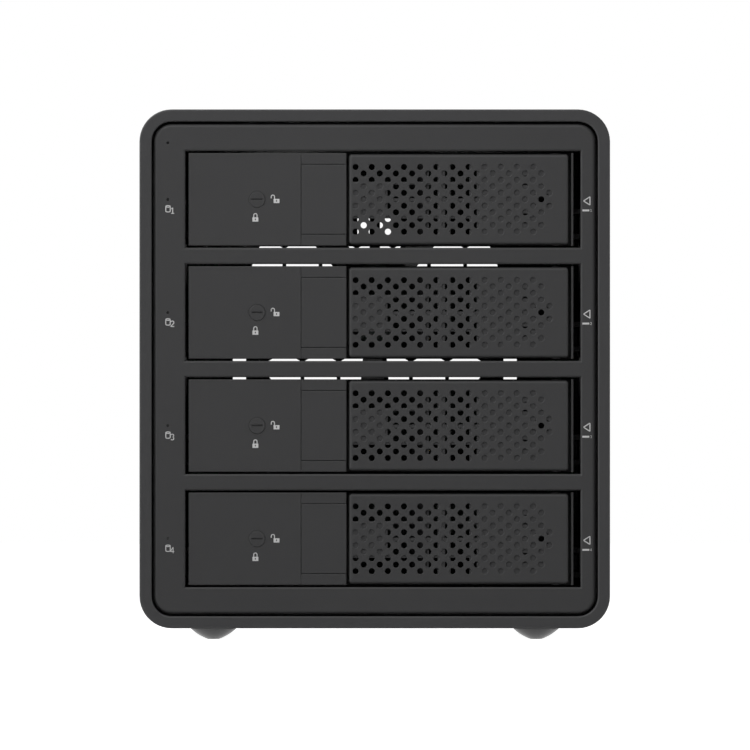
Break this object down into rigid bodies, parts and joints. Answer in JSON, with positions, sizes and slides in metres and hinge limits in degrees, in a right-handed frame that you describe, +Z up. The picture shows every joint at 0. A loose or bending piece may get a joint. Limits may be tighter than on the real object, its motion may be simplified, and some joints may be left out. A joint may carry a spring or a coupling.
{
  "type": "nas enclosure",
  "caption": "Desktop network storage enclosure: a dark aluminium sleeve round stacked drive trays with perforated swing handles, locks and release buttons.",
  "frame": {"origin": "middle of the footprint, on the plane the feet stand on", "axes": "+Z up, front faces -Y, +X to the right seen from the front"},
  "size_m": [0.136, 0.22, 0.1532],
  "materials": {
    "anodised_aluminium": "fine sandblasted, dark anodised",
    "textured_plastic": "finely textured moulded plastic",
    "black_plastic": "moulded, satin",
    "gloss_black": "polished",
    "clear_plastic": "clear moulded, unlit",
    "circuit_board": "green solder mask",
    "dipped_steel": "thin black dip coat on steel sheet",
    "coated_steel": "fine powder coat",
    "zinc_steel": "bright zinc",
    "black_steel": "black oxide",
    "turned_aluminium": "turned",
    "brass": "turned",
    "plated_shell": "nickel plate",
    "pale_ink": "screen printed",
    "ceramic_parts": "sintered",
    "rubber": "moulded, slightly shiny"
  },
  "bodies": {
    "shell": {"outer_sleeve": "anodised_aluminium", "front_bezel": "textured_plastic", "light_pipes": "clear_plastic", "led_board": "circuit_board", "bezel_screws": "zinc_steel", "cage_left": "dipped_steel", "cage_right": "dipped_steel", "cage_top": "dipped_steel", "cage_bottom": "dipped_steel", "cage_spacers": "turned_aluminium", "cage_screws": "black_steel", "cage_rivets": "turned_aluminium", "tray_guides": "black_plastic", "backplane_board": "circuit_board", "backplane_screws": "zinc_steel", "drive_connectors": "black_plastic", "bridge_board": "circuit_board", "board_standoffs": "brass", "board_screws": "zinc_steel", "board_link": "black_plastic", "usb_socket": "plated_shell", "dc_socket": "black_plastic", "switch_housing": "black_plastic", "rear_panel": "coated_steel", "rear_screws": "black_steel", "fan_frame": "black_plastic", "fan_screws": "black_steel", "feet": "rubber"},
    "fan": {"fan_rotor": "black_plastic", "fan_shaft": "plated_shell"},
    "rocker": {"switch_rocker": "gloss_black"},
    "carrier_1": {"tray_1": "black_plastic", "tray_face_1": "textured_plastic", "handle_pin_1": "plated_shell"},
    "lever_1": {"handle_1": "textured_plastic"},
    "button_1": {"release_button_1": "textured_plastic"},
    "lock_1": {"lock_core_1": "textured_plastic", "lock_cam_1": "dipped_steel"},
    "carrier_2": {"tray_2": "black_plastic", "tray_face_2": "textured_plastic", "handle_pin_2": "plated_shell"},
    "lever_2": {"handle_2": "textured_plastic"},
    "button_2": {"release_button_2": "textured_plastic"},
    "lock_2": {"lock_core_2": "textured_plastic", "lock_cam_2": "dipped_steel"},
    "carrier_3": {"tray_3": "black_plastic", "tray_face_3": "textured_plastic", "handle_pin_3": "plated_shell"},
    "lever_3": {"handle_3": "textured_plastic"},
    "button_3": {"release_button_3": "textured_plastic"},
    "lock_3": {"lock_core_3": "textured_plastic", "lock_cam_3": "dipped_steel"},
    "carrier_4": {"tray_4": "black_plastic", "tray_face_4": "textured_plastic", "handle_pin_4": "plated_shell"},
    "lever_4": {"handle_4": "textured_plastic"},
    "button_4": {"release_button_4": "textured_plastic"},
    "lock_4": {"lock_core_4": "textured_plastic", "lock_cam_4": "dipped_steel"}
  },
  "joints": [
    {"name": "fan_spin", "type": "hinge", "parent": "shell", "child": "fan", "pos_m": [0, 0.095, 0.0975], "axis": [0, 1, 0], "continuous": true},
    {"name": "power_switch_rock", "type": "hinge", "parent": "shell", "child": "rocker", "pos_m": [0.035, 0.1046, 0.032], "axis": [1, 0, 0], "range_deg": [0, 18]},
    {"name": "tray_slide_1", "type": "slide", "parent": "shell", "child": "carrier_1", "axis": [0, -1, 0], "range_m": [0, 0.15]},
    {"name": "handle_swing_1", "type": "hinge", "parent": "carrier_1", "child": "lever_1", "pos_m": [0.0525, -0.1065, 0.1272], "axis": [0, 0, 1], "range_deg": [0, 90]},
    {"name": "button_press_1", "type": "slide", "parent": "carrier_1", "child": "button_1", "axis": [0, 1, 0], "range_m": [0, 0.0015], "stiffness_N_per_m": 400},
    {"name": "lock_turn_1", "type": "hinge", "parent": "carrier_1", "child": "lock_1", "pos_m": [-0.034, -0.105, 0.1272], "axis": [0, 1, 0], "range_deg": [0, 90]},
    {"name": "tray_slide_2", "type": "slide", "parent": "shell", "child": "carrier_2", "axis": [0, -1, 0], "range_m": [0, 0.15]},
    {"name": "handle_swing_2", "type": "hinge", "parent": "carrier_2", "child": "lever_2", "pos_m": [0.0525, -0.1065, 0.0945], "axis": [0, 0, 1], "range_deg": [0, 90]},
    {"name": "button_press_2", "type": "slide", "parent": "carrier_2", "child": "button_2", "axis": [0, 1, 0], "range_m": [0, 0.0015], "stiffness_N_per_m": 400},
    {"name": "lock_turn_2", "type": "hinge", "parent": "carrier_2", "child": "lock_2", "pos_m": [-0.034, -0.105, 0.0945], "axis": [0, 1, 0], "range_deg": [0, 90]},
    {"name": "tray_slide_3", "type": "slide", "parent": "shell", "child": "carrier_3", "axis": [0, -1, 0], "range_m": [0, 0.15]},
    {"name": "handle_swing_3", "type": "hinge", "parent": "carrier_3", "child": "lever_3", "pos_m": [0.0525, -0.1065, 0.0618], "axis": [0, 0, 1], "range_deg": [0, 90]},
    {"name": "button_press_3", "type": "slide", "parent": "carrier_3", "child": "button_3", "axis": [0, 1, 0], "range_m": [0, 0.0015], "stiffness_N_per_m": 400},
    {"name": "lock_turn_3", "type": "hinge", "parent": "carrier_3", "child": "lock_3", "pos_m": [-0.034, -0.105, 0.0618], "axis": [0, 1, 0], "range_deg": [0, 90]},
    {"name": "tray_slide_4", "type": "slide", "parent": "shell", "child": "carrier_4", "axis": [0, -1, 0], "range_m": [0, 0.15]},
    {"name": "handle_swing_4", "type": "hinge", "parent": "carrier_4", "child": "lever_4", "pos_m": [0.0525, -0.1065, 0.0291], "axis": [0, 0, 1], "range_deg": [0, 90]},
    {"name": "button_press_4", "type": "slide", "parent": "carrier_4", "child": "button_4", "axis": [0, 1, 0], "range_m": [0, 0.0015], "stiffness_N_per_m": 400},
    {"name": "lock_turn_4", "type": "hinge", "parent": "carrier_4", "child": "lock_4", "pos_m": [-0.034, -0.105, 0.0291], "axis": [0, 1, 0], "range_deg": [0, 90]}
  ]
}
